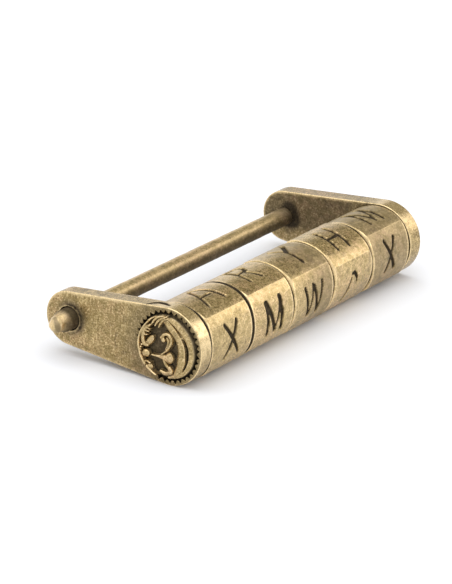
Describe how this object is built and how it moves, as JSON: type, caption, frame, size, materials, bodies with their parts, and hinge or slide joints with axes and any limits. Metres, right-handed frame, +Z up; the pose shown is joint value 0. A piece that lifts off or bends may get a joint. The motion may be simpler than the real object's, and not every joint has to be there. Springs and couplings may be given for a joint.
{
  "type": "combination padlock",
  "caption": "Letter combination padlock: rounded-square brass code wheels on a slotted sleeve between end plates, lion mask medallion, straight pull-out shackle bar.",
  "frame": {"origin": "under the middle of the lock's box, on the surface it lies on", "axes": "+X along the barrel from the medallion end to the far plate, +Y from the barrel towards the shackle bar, +Z up with the lock lying flat"},
  "size_m": [0.0942, 0.0412, 0.0174],
  "materials": {
    "plate_brass": "antique satin",
    "medallion_brass": "antique, dark recesses",
    "wheel_brass": "antique satin",
    "rod_brass": "satin",
    "inner_brass": "machined",
    "steel": "machined"
  },
  "bodies": {
    "case": {"near_plate": "plate_brass", "lion_medallion": "medallion_brass", "core_sleeve": "inner_brass", "core_screw": "steel", "retaining_collar": "inner_brass", "collar_pin": "steel"},
    "wheel_1": {"letter_wheel_1": "wheel_brass"},
    "wheel_2": {"letter_wheel_2": "wheel_brass"},
    "wheel_3": {"letter_wheel_3": "wheel_brass"},
    "wheel_4": {"letter_wheel_4": "wheel_brass"},
    "wheel_5": {"letter_wheel_5": "wheel_brass"},
    "shackle": {"far_plate": "plate_brass", "shackle_rod": "rod_brass", "lock_spindle": "inner_brass", "spindle_screw": "steel", "lock_pin_1": "steel", "lock_pin_2": "steel", "lock_pin_3": "steel", "lock_pin_4": "steel", "lock_pin_5": "steel"}
  },
  "joints": [
    {"name": "wheel_1_turn", "type": "hinge", "parent": "case", "child": "wheel_1", "pos_m": [-0.0293, -0.01188, 0.0087], "axis": [1, 0, 0], "continuous": true},
    {"name": "wheel_2_turn", "type": "hinge", "parent": "case", "child": "wheel_2", "pos_m": [-0.01335, -0.01188, 0.0087], "axis": [1, 0, 0], "continuous": true},
    {"name": "wheel_3_turn", "type": "hinge", "parent": "case", "child": "wheel_3", "pos_m": [0.0026, -0.01188, 0.0087], "axis": [1, 0, 0], "continuous": true},
    {"name": "wheel_4_turn", "type": "hinge", "parent": "case", "child": "wheel_4", "pos_m": [0.01855, -0.01188, 0.0087], "axis": [1, 0, 0], "continuous": true},
    {"name": "wheel_5_turn", "type": "hinge", "parent": "case", "child": "wheel_5", "pos_m": [0.0345, -0.01188, 0.0087], "axis": [1, 0, 0], "continuous": true},
    {"name": "shackle_slide", "type": "slide", "parent": "case", "child": "shackle", "axis": [1, 0, 0], "range_m": [0, 0.085]}
  ]
}
